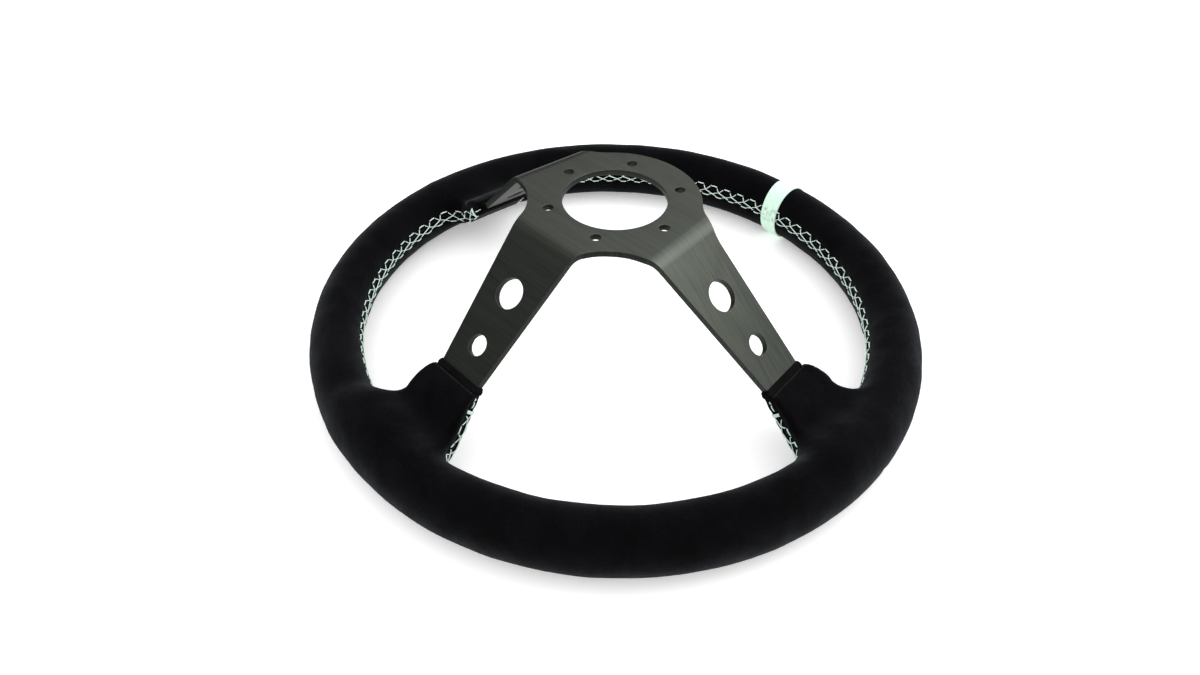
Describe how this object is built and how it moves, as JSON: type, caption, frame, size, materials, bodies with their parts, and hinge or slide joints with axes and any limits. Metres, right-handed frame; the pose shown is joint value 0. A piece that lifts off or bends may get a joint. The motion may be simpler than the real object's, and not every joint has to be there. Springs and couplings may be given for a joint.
{
  "type": "steering wheel",
  "caption": "Dished three-spoke competition steering wheel with a bolt-on hub plate, suede covered padded rim, cross stitching and a pale top centre marker.",
  "frame": {"origin": "wheel axis at the plane the wheel rests on, which touches the driver's side of the grip", "axes": "+Z along the wheel axis away from the driver, towards the steering shaft; +Y to the 12 o'clock centre marker; +X to the driver's left"},
  "size_m": [0.3296, 0.3312, 0.096],
  "materials": {
    "anodised_aluminium": "black anodised over one-way brushing, satin",
    "bare_aluminium": "bare mill finish",
    "foam": "matt moulded polyurethane foam",
    "suede": "brushed black suede, short nap",
    "hem_leather": "matt black",
    "marker_leather": "pale mint, smooth",
    "thread": "pale mint waxed sewing thread"
  },
  "bodies": {
    "root": {"bar_tack_lower_left_left": "thread", "bar_tack_lower_left_lower": "thread", "bar_tack_lower_right_lower": "thread", "bar_tack_lower_right_right": "thread", "bar_tack_upper_left": "thread", "bar_tack_upper_right": "thread", "centre_marker": "marker_leather", "foam_grip": "foam", "hem_strip_left": "hem_leather", "hem_strip_lower": "hem_leather", "hem_strip_right": "hem_leather", "rim_hoop": "bare_aluminium", "rivet_left_a": "bare_aluminium", "rivet_left_b": "bare_aluminium", "rivet_lower_a": "bare_aluminium", "rivet_lower_b": "bare_aluminium", "rivet_right_a": "bare_aluminium", "rivet_right_b": "bare_aluminium", "spoke_frame": "anodised_aluminium", "stitching_lower_left": "thread", "stitching_lower_right": "thread", "stitching_upper": "thread", "suede_cover": "suede"}
  },
  "joints": []
}
